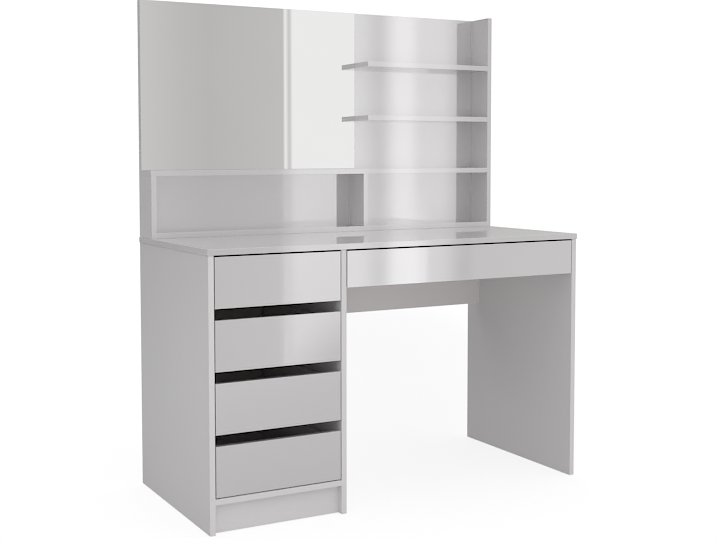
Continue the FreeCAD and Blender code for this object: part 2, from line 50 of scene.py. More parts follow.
# --------------------------------------------------------------------------
# Camera: turned to the right of the front and a little down, with a small
# lens shift for the upright edges
# --------------------------------------------------------------------------
YAW = 0.465149
PITCH = -0.05576
ROLL = -0.003917
FOCAL_PX = 1090.511
PRINCIPAL = (288.090, 220.0)
cam_data = bpy.data.cameras.new("camera")
cam_data.sensor_fit = "HORIZONTAL"
cam_data.sensor_width = 36.0
cam_data.lens = FOCAL_PX / 716.0 * 36.0
cam_data.shift_x = (358.0 - PRINCIPAL[0]) / 716.0
cam_data.shift_y = (PRINCIPAL[1] - 270.0) / 716.0
cam_data.clip_end = 200.0
cam_data.dof.use_dof = False
camera = bpy.data.objects.new("camera", cam_data)
scene.collection.objects.link(camera)
camera.location = (-1.67268, -2.84468, 0.98065)
camera.rotation_euler = (Matrix.Rotation(-YAW, 3, "Z") @ Matrix.Rotation(math.pi / 2 + PITCH, 3, "X")
                         @ Matrix.Rotation(ROLL, 3, "Z")).to_euler()
scene.camera = camera
scene.view_settings.view_transform = "Standard"
scene.view_settings.look = "None"
scene.view_settings.exposure = 0.0
scene.view_settings.gamma = 1.0


# --------------------------------------------------------------------------
# Node helpers
# --------------------------------------------------------------------------
def node(tree, kind, **values):
    n = tree.nodes.new(kind)
    for key, value in values.items():
        setattr(n, key, value)
    return n


def put(n, **values):
    """Set input sockets by name, with _ for a space."""
    for key, value in values.items():
        n.inputs[key.replace("_", " ")].default_value = value
    return n


def math_node(tree, op, a, b=None, clamp=False):
    n = node(tree, "ShaderNodeMath", operation=op, use_clamp=clamp)
    for i, v in enumerate((a, b)):
        if v is None:
            continue
        if isinstance(v, (int, float)):
            n.inputs[i].default_value = v
        else:
            tree.links.new(v, n.inputs[i])
    return n.outputs[0]


def ramp(tree, factor, stops, mode="LINEAR"):
    n = node(tree, "ShaderNodeValToRGB")
    n.color_ramp.interpolation = mode
    els = n.color_ramp.elements
    while len(els) < len(stops):
        els.new(0.5)
    for e, (p, c) in zip(els, stops):
        e.position = p
        e.color = (c, c, c, 1.0) if isinstance(c, (int, float)) else tuple(c) + (1.0,)
    tree.links.new(factor, n.inputs["Fac"])
    return n.outputs["Color"]


def remap(tree, value, a, b, c, d):
    n = node(tree, "ShaderNodeMapRange")
    tree.links.new(value, n.inputs["Value"])
    put(n, From_Min=a, From_Max=b, To_Min=c, To_Max=d)
    return n.outputs["Result"]


# --------------------------------------------------------------------------
# Studio: pale walls all round with upright soft panels ahead, pale floor
# --------------------------------------------------------------------------
world = bpy.data.worlds.new("studio")
scene.world = world
world.use_nodes = True
wt = world.node_tree
wt.nodes.clear()
coord = node(wt, "ShaderNodeTexCoord")
sep = node(wt, "ShaderNodeSeparateXYZ")
wt.links.new(coord.outputs["Generated"], sep.inputs[0])
azimuth = math_node(wt, "ARCTAN2", sep.outputs["X"],
                    math_node(wt, "MULTIPLY", sep.outputs["Y"], -1.0))
# walls: degrees from the front towards the right, brightness
WALLS = [(-180, 1.30), (-173, 1.15), (-165, 0.24), (-150, 0.12), (-120, 0.13), (-95, 0.27), (-75, 0.35),
         (-50, 0.36), (-20, 0.41), (-7, 0.38), (1, 0.43), (5, 0.48), (12, 0.58), (17, 0.64), (19, 0.60),
         (22, 0.50), (26.5, 0.55), (31.5, 0.66), (36, 0.58), (46, 0.66), (53, 0.95), (70, 1.15),
         (88, 0.95), (110, 0.70), (129, 0.74), (134, 0.56), (146, 0.55), (150, 0.85), (157, 1.25),
         (180, 1.30)]
# upright soft panels ahead: from, to, softness of the two edges, brightness
PANELS = [(-6.0, 0.0, 0.50, 0.50, 0.59),     # low fill from the front
          (26.47, 26.62, 0.08, 0.20, 0.95),  # narrow strip beside the broad panel
          (26.82, 31.0, 0.12, 0.75, 0.89),   # broad pale panel
          (33.1, 35.25, 0.25, 0.65, 0.90),   # second pale panel
          (31.9, 33.3, 0.60, 0.30, 1.12)]    # key strip between them


def warm(v):
    """Walls are a little warm, bright panels are neutral."""
    k = min(1.0, max(0.0, (0.80 - v) / 0.2))
    return (v * (1.0 + 0.004 * k), v * (1.0 - 0.002 * k), v * (1.0 - 0.018 * k))


def edge(at, soft):
    """0 before an azimuth and 1 after it."""
    n = node(wt, "ShaderNodeMapRange", interpolation_type="SMOOTHSTEP")
    wt.links.new(azimuth, n.inputs["Value"])
    put(n, From_Min=math.radians(at - soft), From_Max=math.radians(at + soft), To_Min=0.0, To_Max=1.0)
    return n.outputs["Result"]


around = ramp(wt, remap(wt, azimuth, -math.pi, math.pi, 0.0, 1.0),
              [((a + 180.0) / 360.0, warm(v)) for a, v in WALLS])
for begin, end, soft_in, soft_out, level in PANELS:
    lit = node(wt, "ShaderNodeMix", data_type="RGBA")
    wt.links.new(math_node(wt, "SUBTRACT", edge(begin, soft_in), edge(end, soft_out), clamp=True),
                 lit.inputs["Factor"])
    wt.links.new(around, lit.inputs["A"])
    lit.inputs["B"].default_value = warm(level) + (1.0,)
    around = lit.outputs["Result"]


def band(lo, hi):
    """1 between two azimuths."""
    return math_node(wt, "MULTIPLY", math_node(wt, "GREATER_THAN", azimuth, math.radians(lo)),
                     math_node(wt, "LESS_THAN", azimuth, math.radians(hi)))


# the lower parts of the panels differ a little from the upper ones
height = remap(wt, sep.outputs["Z"], -0.22, 0.0, 0.0, 1.0)
low_wall = node(wt, "ShaderNodeMix", data_type="RGBA", blend_type="MULTIPLY")
wt.links.new(band(26.84, 29.6), low_wall.inputs["Factor"])
wt.links.new(around, low_wall.inputs["A"])
slant = math_node(wt, "MULTIPLY", math_node(wt, "SUBTRACT", azimuth, math.radians(27.0)), 4.5)
wt.links.new(ramp(wt, math_node(wt, "SUBTRACT", height, slant),
                  [(0.0, 0.56), (0.16, 0.79), (0.26, 0.90), (0.50, 0.93), (0.75, 1.0)]),
             low_wall.inputs["B"])
low_side = node(wt, "ShaderNodeMix", data_type="RGBA", blend_type="MULTIPLY")
wt.links.new(band(33.95, 36.2), low_side.inputs["Factor"])
wt.links.new(low_wall.outputs["Result"], low_side.inputs["A"])
wt.links.new(ramp(wt, height, [(0.0, 0.84), (0.62, 0.86), (0.85, 1.0)]), low_side.inputs["B"])
overhead = node(wt, "ShaderNodeMix", data_type="RGBA")
wt.links.new(remap(wt, sep.outputs["Z"], 0.30, 0.80, 0.0, 1.0), overhead.inputs["Factor"])
low_lit = node(wt, "ShaderNodeMix", data_type="RGBA", blend_type="MULTIPLY")
wt.links.new(band(33.15, 33.95), low_lit.inputs["Factor"])
wt.links.new(low_side.outputs["Result"], low_lit.inputs["A"])
wt.links.new(ramp(wt, height, [(0.0, 1.16), (0.62, 1.14), (0.85, 1.0)]), low_lit.inputs["B"])
wt.links.new(low_lit.outputs["Result"], overhead.inputs["A"])
overhead.inputs["B"].default_value = (1.04, 1.04, 1.04, 1.0)


def over(at, soft):
    """0 below a height and 1 above it."""
    n = node(wt, "ShaderNodeMapRange", interpolation_type="SMOOTHSTEP")
    wt.links.new(sep.outputs["Z"], n.inputs["Value"])
    put(n, From_Min=at - soft, From_Max=at + soft, To_Min=0.0, To_Max=1.0)
    return n.outputs["Result"]


# pale walls at the left, which only the gloss shows
path = node(wt, "ShaderNodeLightPath")
corner = math_node(wt, "MULTIPLY", over(0.22, 0.08),
                   math_node(wt, "SUBTRACT", edge(-172.0, 4.0), edge(-26.0, 6.0), clamp=True))
beside = math_node(wt, "MULTIPLY", over(0.0, 0.04),
                   math_node(wt, "SUBTRACT", edge(-126.0, 3.0), edge(-60.0, 8.0), clamp=True))
shown = node(wt, "ShaderNodeMix", data_type="RGBA")
wt.links.new(math_node(wt, "MULTIPLY", path.outputs["Is Glossy Ray"],
                       math_node(wt, "ADD", corner, beside, clamp=True)), shown.inputs["Factor"])
wt.links.new(overhead.outputs["Result"], shown.inputs["A"])
shown.inputs["B"].default_value = (0.82, 0.82, 0.82, 1.0)
light_bg = node(wt, "ShaderNodeBackground")
wt.links.new(shown.outputs["Result"], light_bg.inputs["Color"])
light_bg.inputs["Strength"].default_value = 1.0
white_bg = node(wt, "ShaderNodeBackground")
white_bg.inputs["Color"].default_value = (1.0, 1.0, 1.0, 1.0)
white_bg.inputs["Strength"].default_value = 1.05
pick = node(wt, "ShaderNodeMixShader")
wt.links.new(path.outputs["Is Camera Ray"], pick.inputs["Fac"])
wt.links.new(light_bg.outputs[0], pick.inputs[1])
wt.links.new(white_bg.outputs[0], pick.inputs[2])
out = node(wt, "ShaderNodeOutputWorld")
wt.links.new(pick.outputs[0], out.inputs["Surface"])


def plane(name, x0, x1, y0, y1, z):
    me = bpy.data.meshes.new(name)
    me.from_pydata([(x0, y0, z), (x1, y0, z), (x1, y1, z), (x0, y1, z)], [], [(0, 1, 2, 3)])
    ob = bpy.data.objects.new(name, me)
    scene.collection.objects.link(ob)
    return ob


def floor_material(name, albedo, glow, tint=(1.0, 1.0, 1.0)):
    m = bpy.data.materials.new(name)
    m.use_nodes = True
    t = m.node_tree
    b = t.nodes["Principled BSDF"]
    tc = node(t, "ShaderNodeTexCoord")
    n = node(t, "ShaderNodeTexNoise")
    put(n, Scale=1.3, Detail=2.0)
    t.links.new(tc.outputs["Object"], n.inputs["Vector"])
    t.links.new(ramp(t, n.outputs["Fac"], [(0.3, albedo * 0.995), (0.7, albedo)]),
                b.inputs["Base Color"])
    put(b, Roughness=0.9)
    b.inputs["Specular IOR Level"].default_value = 0.0
    b.inputs["Emission Color"].default_value = tuple(tint) + (1.0,)
    b.inputs["Emission Strength"].default_value = glow
    return m


# the floor that is seen, the floor that gives light back, and a bounce card
def floor_seen():
    """White floor, with a faint shade painted behind the table, not cast by it."""
    m = floor_material("floor_white_painted_shade", 0.22, 1.0)
    t = m.node_tree
    b = t.nodes["Principled BSDF"]
    tc = node(t, "ShaderNodeTexCoord")
    mp = node(t, "ShaderNodeMapping", vector_type="TEXTURE")
    mp.inputs["Location"].default_value = (1.25, 1.95, 0.0)
    mp.inputs["Rotation"].default_value = (0.0, 0.0, math.radians(-26.5))
    mp.inputs["Scale"].default_value = (1.0, 3.0, 1.0)
    t.links.new(tc.outputs["Object"], mp.inputs["Vector"])
    g = node(t, "ShaderNodeTexGradient", gradient_type="SPHERICAL")
    t.links.new(mp.outputs["Vector"], g.inputs["Vector"])
    # painted shade: the floor glows a little less in a soft oval behind the table
    t.links.new(ramp(t, g.outputs["Fac"], [(0.0, 0.825), (0.62, 0.762), (1.0, 0.750)], "EASE"),
                b.inputs["Emission Color"])
    return m


floor = plane("studio_floor", -30, 30, -30, 30, 0.0)
floor.data.materials.append(floor_seen())
floor.visible_diffuse = False
floor.visible_glossy = False
floor.visible_transmission = False
floor.visible_shadow = False


def floor_light():
    """The floor that gives light back, weaker behind the table."""
    m = floor_material("floor_bounce", 0.36, 1.0)
    t = m.node_tree
    b = t.nodes["Principled BSDF"]
    tc = node(t, "ShaderNodeTexCoord")
    s = node(t, "ShaderNodeSeparateXYZ")
    t.links.new(tc.outputs["Object"], s.inputs[0])
    back = remap(t, s.outputs["Y"], 0.05, 0.85, 0.0, 1.0)
    t.links.new(ramp(t, back, [(0.0, 0.18), (1.0, 0.02)]), b.inputs["Emission Color"])
    t.links.new(ramp(t, back, [(0.0, 0.36), (1.0, 0.16)]), b.inputs["Base Color"])
    return m


bounce = plane("studio_floor_bounce", -4.0, 4.0, -2.2, 4.0, -0.0004)
bounce.data.materials.append(floor_light())
bounce.visible_camera = False
bounce.visible_glossy = False


def floor_gleam():
    """The floor as the gloss and the mirror show it: paler towards the left."""
    m = floor_material("floor_gleam", 0.36, 1.0)
    t = m.node_tree
    b = t.nodes["Principled BSDF"]
    tc = node(t, "ShaderNodeTexCoord")
    s = node(t, "ShaderNodeSeparateXYZ")
    t.links.new(tc.outputs["Object"], s.inputs[0])
    t.links.new(ramp(t, remap(t, s.outputs["X"], -3.0, -0.62, 0.0, 1.0),
                     [(0.0, 0.30), (0.35, 0.44), (0.82, 0.37), (1.0, 0.18)]),
                b.inputs["Emission Color"])
    return m


gleam_look = floor_gleam()
for name, x0, x1, y0 in (("studio_floor_gleam", -0.62, 4.0, -2.2), ("studio_floor_gleam_left", -9.0, -0.62, -9.0)):
    gleam = plane(name, x0, x1, y0, 4.0, -0.0002)
    gleam.data.materials.append(gleam_look)
    gleam.visible_camera = False
    gleam.visible_diffuse = False
    gleam.visible_transmission = False
    gleam.visible_shadow = False


def card(name, width, height, place, towards, glow, tint=(1.0, 1.0, 1.0)):
    """Soft fill that lights matt surfaces and is not seen in the gloss."""
    ob = plane(name, -width / 2, width / 2, -height / 2, height / 2, 0.0)
    ob.location = place
    ob.rotation_euler = (Vector(towards) - Vector(place)).to_track_quat("Z", "Y").to_euler()
    ob.data.materials.append(floor_material(name, 0.05, glow, tint))
    ob.visible_camera = False
    ob.visible_glossy = False
    ob.visible_transmission = False
    ob.visible_shadow = False
    return ob


card("studio_card_front", 3.2, 0.75, (-0.6, -2.4, 0.38), (-0.6, 0.0, 0.38), 1.35, (1.0, 0.965, 0.96))
card("studio_card_left", 0.8, 0.8, (-1.5, -1.0, 0.75), (-0.6, -0.1, 0.45), 1.15)
flag = card("studio_flag_top", 0.5, 0.5, (0.36, 0.10, 1.75), (0.36, 0.12, 1.45), 0.45)
flag.visible_shadow = True


# --------------------------------------------------------------------------
# Finishes
# --------------------------------------------------------------------------
def finish(name, colour, spread, rough, metallic, wave, grain, rim=None, level=0.20):
    """Board finish.  spread: tone drift over the board; rough: (low, high);
    wave: (scale, height) of the slow waviness; grain: (scale, height) of the
    fine texture of the surface; rim: reflection kept at a glancing view;
    level: strength of the clear layer where there is a rim."""
    m = bpy.data.materials.new(name)
    m.use_nodes = True
    t = m.node_tree
    b = t.nodes["Principled BSDF"]
    tc = node(t, "ShaderNodeTexCoord")
    slow = node(t, "ShaderNodeTexNoise")
    put(slow, Scale=2.2, Detail=3.0, Roughness=0.55)
    t.links.new(tc.outputs["Object"], slow.inputs["Vector"])
    lo_c = tuple(c * (1.0 - spread) for c in colour)
    hi_c = tuple(min(1.0, c * (1.0 + spread)) for c in colour)
    t.links.new(ramp(t, slow.outputs["Fac"], [(0.32, lo_c), (0.68, hi_c)]),
                b.inputs["Base Color"])
    smear = node(t, "ShaderNodeTexNoise")
    put(smear, Scale=14.0, Detail=4.0, Roughness=0.6)
    t.links.new(tc.outputs["Object"], smear.inputs["Vector"])
    t.links.new(remap(t, smear.outputs["Fac"], 0.3, 0.7, rough[0], rough[1]),
                b.inputs["Roughness"])
    b.inputs["Metallic"].default_value = metallic
    if rim is not None:
        b.inputs["Specular Tint"].default_value = (rim, rim, rim, 1.0)
        b.inputs["Specular IOR Level"].default_value = level
    w = node(t, "ShaderNodeTexNoise")
    put(w, Scale=wave[0], Detail=1.0)
    t.links.new(tc.outputs["Object"], w.inputs["Vector"])
    bump_w = node(t, "ShaderNodeBump")
    put(bump_w, Strength=1.0, Distance=wave[1])
    t.links.new(w.outputs["Fac"], bump_w.inputs["Height"])
    g = node(t, "ShaderNodeTexNoise")
    put(g, Scale=grain[0], Detail=2.0)
    t.links.new(tc.outputs["Object"], g.inputs["Vector"])
    bump_g = node(t, "ShaderNodeBump")
    put(bump_g, Strength=1.0, Distance=grain[1])
    t.links.new(g.outputs["Fac"], bump_g.inputs["Height"])
    t.links.new(bump_w.outputs["Normal"], bump_g.inputs["Normal"])
    t.links.new(bump_g.outputs["Normal"], b.inputs["Normal"])
    return m


WHITE = (0.86, 0.847, 0.857)
gloss = finish("white_gloss_lacquer", WHITE, 0.006, (0.030, 0.048), 0.68,
               (110.0, 9.0e-6), (1500.0, 3.0e-8), rim=0.86)
# painted shade: the table top gets a darker copy of the white gloss, toned down against the strong light from
# above
gloss_top_painted_shade = finish("white_gloss_lacquer_top_painted_shade", (0.68, 0.669, 0.676), 0.006, (0.030, 0.048), 0.08,
                   (110.0, 9.0e-6), (1500.0, 3.0e-8), rim=0.60, level=0.14)
gloss_edge = finish("white_gloss_edge_band", WHITE, 0.006, (0.040, 0.060), 0.66,
                    (40.0, 2.0e-6), (900.0, 1.0e-7), rim=0.86)
# painted shade: a darker copy of the gloss edge band for the table top
gloss_top_edge_painted_shade = finish("white_gloss_edge_band_top_painted_shade", (0.82, 0.808, 0.817), 0.006, (0.040, 0.060), 0.66,
                        (40.0, 2.0e-6), (900.0, 1.0e-7), rim=0.82)
satin = finish("white_satin_melamine", (0.80, 0.784, 0.790), 0.010, (0.34, 0.46), 0.0,
               (60.0, 1.0e-5), (1700.0, 9.0e-6))
edging = finish("white_edge_band", (0.80, 0.785, 0.790), 0.006, (0.30, 0.40), 0.0,
                (40.0, 2.0e-6), (900.0, 1.0e-7))
# painted light: a lighter copy of the satin white for the front of the knee panel, which sits in shade under the
# drawer
satin_apron_painted_light = finish("white_satin_melamine_apron_painted_light", (0.865, 0.832, 0.834), 0.010, (0.34, 0.46), 0.0,
                     (60.0, 1.0e-5), (1700.0, 9.0e-6))
end_band = finish("white_end_band", (0.83, 0.814, 0.820), 0.006, (0.20, 0.28), 0.15,
                  (40.0, 2.0e-6), (900.0, 1.0e-7))
backing = finish("white_backing_foil", (0.76, 0.745, 0.745), 0.015, (0.50, 0.62), 0.0,
                 (50.0, 2.0e-5), (1200.0, 1.4e-5))
# painted shade: backing paper under the table top, made dark grey to darken the slot above the drawer fronts
balance_painted_shade = finish("grey_backing_paper_painted_shade", (0.30, 0.29, 0.285), 0.04, (0.55, 0.70), 0.0,
                 (50.0, 2.0e-5), (1000.0, 1.6e-5))
drawer_board = finish("drawer_melamine", (0.70, 0.69, 0.69), 0.02, (0.42, 0.56), 0.0,
                      (70.0, 1.0e-5), (1500.0, 1.2e-5))
drawer_edge = finish("drawer_edge_band", (0.70, 0.69, 0.69), 0.02, (0.34, 0.44), 0.0,
                     (90.0, 2.0e-6), (900.0, 3.0e-7))


def particle_core():
    """Cut face of the board: pressed wood particles."""
    m = bpy.data.materials.new("particle_board_core")
    m.use_nodes = True
    t = m.node_tree
    b = t.nodes["Principled BSDF"]
    tc = node(t, "ShaderNodeTexCoord")
    v = node(t, "ShaderNodeTexVoronoi")
    put(v, Scale=420.0)
    t.links.new(tc.outputs["Object"], v.inputs["Vector"])
    n = node(t, "ShaderNodeTexNoise")
    put(n, Scale=240.0, Detail=5.0)
    t.links.new(tc.outputs["Object"], n.inputs["Vector"])
    mixer = node(t, "ShaderNodeMix", data_type="RGBA")
    t.links.new(n.outputs["Fac"], mixer.inputs["Factor"])
    t.links.new(ramp(t, v.outputs["Distance"], [(0.0, (0.50, 0.34, 0.19)), (0.8, (0.30, 0.19, 0.10))]),
                mixer.inputs["A"])
    mixer.inputs["B"].default_value = (0.56, 0.41, 0.25, 1.0)
    t.links.new(mixer.outputs["Result"], b.inputs["Base Color"])
    put(b, Roughness=0.85)
    bump = node(t, "ShaderNodeBump")
    put(bump, Strength=0.8, Distance=0.0003)
    t.links.new(v.outputs["Distance"], bump.inputs["Height"])
    t.links.new(bump.outputs["Normal"], b.inputs["Normal"])
    return m


core = particle_core()


def hardboard(name, light, dark):
    """Bare side of hardboard: matted fibres."""
    m = bpy.data.materials.new(name)
    m.use_nodes = True
    t = m.node_tree
    b = t.nodes["Principled BSDF"]
    tc = node(t, "ShaderNodeTexCoord")
    n = node(t, "ShaderNodeTexNoise")
    put(n, Scale=700.0, Detail=6.0, Roughness=0.7, Distortion=1.5)
    t.links.new(tc.outputs["Object"], n.inputs["Vector"])
    big = node(t, "ShaderNodeTexNoise")
    put(big, Scale=9.0, Detail=3.0)
    t.links.new(tc.outputs["Object"], big.inputs["Vector"])
    mixer = node(t, "ShaderNodeMix", data_type="RGBA", blend_type="MULTIPLY")
    mixer.inputs["Factor"].default_value = 1.0
    t.links.new(ramp(t, n.outputs["Fac"], [(0.30, dark), (0.70, light)]), mixer.inputs["A"])
    t.links.new(ramp(t, big.outputs["Fac"], [(0.3, 0.88), (0.7, 1.0)]), mixer.inputs["B"])
    t.links.new(mixer.outputs["Result"], b.inputs["Base Color"])
    put(b, Roughness=0.8)
    bump = node(t, "ShaderNodeBump")
    put(bump, Strength=0.6, Distance=0.0002)
    t.links.new(n.outputs["Fac"], bump.inputs["Height"])
    t.links.new(bump.outputs["Normal"], b.inputs["Normal"])
    return m


bare_fibre = hardboard("hardboard_bare", (0.36, 0.24, 0.14), (0.22, 0.14, 0.08))


def metal(name, colour, rough, stretch, scale, pits, mottle=0.10, relief=0.00004):
    """Plated metal, drawn along one direction, with faint mottling."""
    m = bpy.data.materials.new(name)
    m.use_nodes = True
    t = m.node_tree
    b = t.nodes["Principled BSDF"]
    tc = node(t, "ShaderNodeTexCoord")
    mp = node(t, "ShaderNodeMapping")
    mp.inputs["Scale"].default_value = stretch
    t.links.new(tc.outputs["Object"], mp.inputs["Vector"])
    n = node(t, "ShaderNodeTexNoise")
    put(n, Scale=scale, Detail=4.0, Roughness=0.6)
    t.links.new(mp.outputs["Vector"], n.inputs["Vector"])
    v = node(t, "ShaderNodeTexVoronoi")
    put(v, Scale=pits)
    t.links.new(tc.outputs["Object"], v.inputs["Vector"])
    mixer = node(t, "ShaderNodeMix", data_type="RGBA", blend_type="MULTIPLY")
    mixer.inputs["Factor"].default_value = 1.0
    t.links.new(ramp(t, n.outputs["Fac"], [(0.3, tuple(c * (1.0 - mottle) for c in colour)), (0.7, colour)]),
                mixer.inputs["A"])
    t.links.new(ramp(t, v.outputs["Distance"], [(0.0, 1.0 - 0.7 * mottle), (0.6, 1.0)]), mixer.inputs["B"])
    t.links.new(mixer.outputs["Result"], b.inputs["Base Color"])
    t.links.new(remap(t, n.outputs["Fac"], 0.3, 0.7, rough[0], rough[1]), b.inputs["Roughness"])
    b.inputs["Metallic"].default_value = 1.0
    bump = node(t, "ShaderNodeBump")
    put(bump, Strength=0.4, Distance=relief)
    t.links.new(n.outputs["Fac"], bump.inputs["Height"])
    t.links.new(bump.outputs["Normal"], b.inputs["Normal"])
    return m


rail_steel = metal("slide_steel_bright", (0.66, 0.67, 0.69), (0.26, 0.36), (1.0, 0.02, 1.0), 420.0, 90.0,
                   0.07, 0.00001)
cast_zinc = metal("zinc_casting", (0.60, 0.60, 0.61), (0.34, 0.48), (1.0, 1.0, 1.0), 700.0, 900.0)
screw_steel = metal("screw_steel_plated", (0.70, 0.69, 0.66), (0.24, 0.34), (1.0, 1.0, 1.0), 500.0, 700.0,
                    0.08, 0.00002)
ball_steel = metal("ball_steel_polished", (0.72, 0.73, 0.74), (0.08, 0.14), (1.0, 1.0, 1.0), 500.0, 900.0,
                   0.04, 0.000005)


def silver():
    """Silvered glass, seen from the front: clean, with the faintest wiping marks."""
    m = bpy.data.materials.new("mirror_silver")
    m.use_nodes = True
    t = m.node_tree
    b = t.nodes["Principled BSDF"]
    tc = node(t, "ShaderNodeTexCoord")
    n = node(t, "ShaderNodeTexNoise")
    put(n, Scale=5.0, Detail=4.0)
    t.links.new(tc.outputs["Object"], n.inputs["Vector"])
    t.links.new(remap(t, n.outputs["Fac"], 0.35, 0.75, 0.004, 0.016), b.inputs["Roughness"])
    t.links.new(ramp(t, n.outputs["Fac"], [(0.3, (0.925, 0.922, 0.919)), (0.7, (0.935, 0.932, 0.929))]),
                b.inputs["Base Color"])
    b.inputs["Metallic"].default_value = 1.0
    return m


def glass_edge():
    """Ground edge of the glass, pale grey green."""
    m = bpy.data.materials.new("mirror_ground_edge")
    m.use_nodes = True
    t = m.node_tree
    b = t.nodes["Principled BSDF"]
    tc = node(t, "ShaderNodeTexCoord")
    n = node(t, "ShaderNodeTexNoise")
    put(n, Scale=600.0, Detail=3.0)
    t.links.new(tc.outputs["Object"], n.inputs["Vector"])
    t.links.new(ramp(t, n.outputs["Fac"], [(0.3, (0.60, 0.645, 0.63)), (0.7, (0.64, 0.685, 0.67))]),
                b.inputs["Base Color"])
    t.links.new(remap(t, n.outputs["Fac"], 0.3, 0.7, 0.16, 0.34), b.inputs["Roughness"])
    b.inputs["IOR"].default_value = 1.52
    return m


mirror_face = silver()
mirror_edge = glass_edge()
plastic = finish("moulded_plastic", (0.62, 0.61, 0.60), 0.03, (0.40, 0.55), 0.0,
                 (200.0, 1.0e-5), (1400.0, 1.5e-5))
cage_plastic = finish("cage_plastic", (0.05, 0.05, 0.055), 0.06, (0.35, 0.50), 0.0,
                      (200.0, 1.0e-5), (1400.0, 1.0e-5))


# --------------------------------------------------------------------------
# Finishes on the boards: faces, edge bands and bare core told apart by where
# each face of the board lies
# --------------------------------------------------------------------------
def dress(name, axis, low_face, high_face, band, inside=core, skin=0.0011):
    """axis is the board's thickness direction; low_face and high_face are the
    finishes of its two broad sides."""
    ob = N[name]
    me = ob.data
    lo_c, hi_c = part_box(name)
    me.materials.clear()
    for m in (low_face, high_face, band, inside):
        me.materials.append(m)
    for p in me.polygons:
        c = p.center
        depth = min(min(c[k] - lo_c[k], hi_c[k] - c[k]) for k in range(3))
        if depth > skin:
            p.material_index = 3
        elif p.normal[axis] < -0.95 and c[axis] - lo_c[axis] < 0.0002:
            p.material_index = 0
        elif p.normal[axis] > 0.95 and hi_c[axis] - c[axis] < 0.0002:
            p.material_index = 1
        else:
            # mouths of bores keep the board's own side; the rest is edging
            p.material_index = 2


def ends(name, axis, band):
    """Give the two end faces of a board a band of their own."""
    me = N[name].data
    lo_c, hi_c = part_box(name)
    me.materials.append(band)
    for p in me.polygons:
        c = p.center[axis]
        if abs(p.normal[axis]) > 0.7 and min(c - lo_c[axis], hi_c[axis] - c) < 0.0011:
            p.material_index = len(me.materials) - 1


def whole(name, *materials):
    me = N[name].data
    me.materials.clear()
    for m in materials:
        me.materials.append(m)
    for p in me.polygons:
        p.material_index = 0


dress("tabletop", 2, balance_painted_shade, gloss_top_painted_shade, gloss_top_edge_painted_shade)
ends("tabletop", 0, end_band)
for n in ("left_side_panel", "partition_panel", "right_leg_panel"):
    dress(n, 0, satin, satin, edging)
for n in ("hutch_right_side", "niche_left_side", "niche_divider"):
    dress(n, 0, satin, satin, gloss_edge)
    ends(n, 2, edging)
dress("pedestal_bottom", 2, satin, satin, edging)
for n in ("hutch_bottom_board", "long_shelf", "middle_shelf", "upper_shelf"):
    dress(n, 2, gloss, gloss, gloss_edge)
    ends(n, 0, edging)
dress("plinth", 1, satin, satin, edging)
dress("knee_back_panel", 1, satin_apron_painted_light, satin, edging)
dress("hutch_back_panel", 1, gloss, backing, edging)
dress("pedestal_back", 1, backing, bare_fibre, bare_fibre, bare_fibre)
dress("mirror_glass", 1, mirror_face, backing, mirror_edge, mirror_edge)
for d in DRAWERS:
    dress(d + "_front", 1, gloss, backing, gloss_edge)
    dress(d + "_left_side", 0, drawer_board, drawer_board, drawer_edge)
    dress(d + "_right_side", 0, drawer_board, drawer_board, drawer_edge)
    dress(d + "_back", 1, drawer_board, drawer_board, drawer_edge)
    dress(d + "_bottom", 2, backing, drawer_board, bare_fibre, bare_fibre)
    whole(d + "_fittings", cast_zinc)
    whole(d + "_slide_rails", rail_steel)
    whole(d + "_middle_rails", rail_steel)
whole("carcass_fittings", cast_zinc)
whole("cabinet_rails", rail_steel)
whole("floor_glides", plastic)

# --------------------------------------------------------------------------
# Small hardware, modelled in full where the construction has plain rods and
# bars: cam locks, bolts, screws, rolled rails, ball cages, release levers
# --------------------------------------------------------------------------
MM = Matrix.Scale(0.001, 4)


def cross_outline(half, arm):
    """Outline of a cross recess, and the angles of its corners."""
    def radius(a):
        a = abs((a + math.pi / 4) % (math.pi / 2) - math.pi / 4)
        return min(arm / math.cos(a), half / math.sin(a)) if a > 1e-6 else arm
    tip = math.atan2(half, arm)
    return radius, [k * math.pi / 2 + s * tip for k in range(4) for s in (-1, 1)]


def hex_outline(flat):
    """Outline of a hexagon socket."""
    def radius(a):
        return flat / math.cos(a % (math.pi / 3) - math.pi / 6)
    return radius, []


def turned(rings, recess=None, depth=0.0, count=24):
    """Part turned about +Z.  rings run from the top face out, down the sides
    and in below, as (radius, height); recess is an outline cut in the top."""
    angles = [k * 2 * math.pi / count for k in range(count)]
    if recess:
        angles += recess[1]
    angles = sorted(set(round(a % (2 * math.pi), 9) for a in angles))
    n = len(angles)
    pts, faces, loops = [], [], []

    def loop(radius, z):
        loops.append(len(pts))
        for a in angles:
            r = radius(a) if callable(radius) else radius
            pts.append((r * math.cos(a), r * math.sin(a), z))

    top = rings[0][1]
    pts.append((0.0, 0.0, top - depth if recess else top))
    if recess:
        loop(lambda a: 0.80 * recess[0](a), top - depth)
        loop(recess[0], top)
    for r, z in rings:
        loop(r, z)
    pts.append((0.0, 0.0, rings[-1][1]))
    last = len(pts) - 1
    for i in range(n):
        j = (i + 1) % n
        faces.append((0, loops[0] + i, loops[0] + j))
        for a, b in zip(loops, loops[1:]):
            faces.append((a + i, b + i, b + j, a + j))
        faces.append((last, loops[-1] + j, loops[-1] + i))
    return pts, faces


def thread(crest, root, z0, z1, pitch):
    """Rings of a thread, from z0 down to z1."""
    rings, z = [], z0
    while z - pitch > z1:
        rings += [(root, z - 0.10 * pitch), (crest, z - 0.45 * pitch), (crest, z - 0.60 * pitch),
                  (root, z - 0.95 * pitch)]
        z -= pitch
    return rings


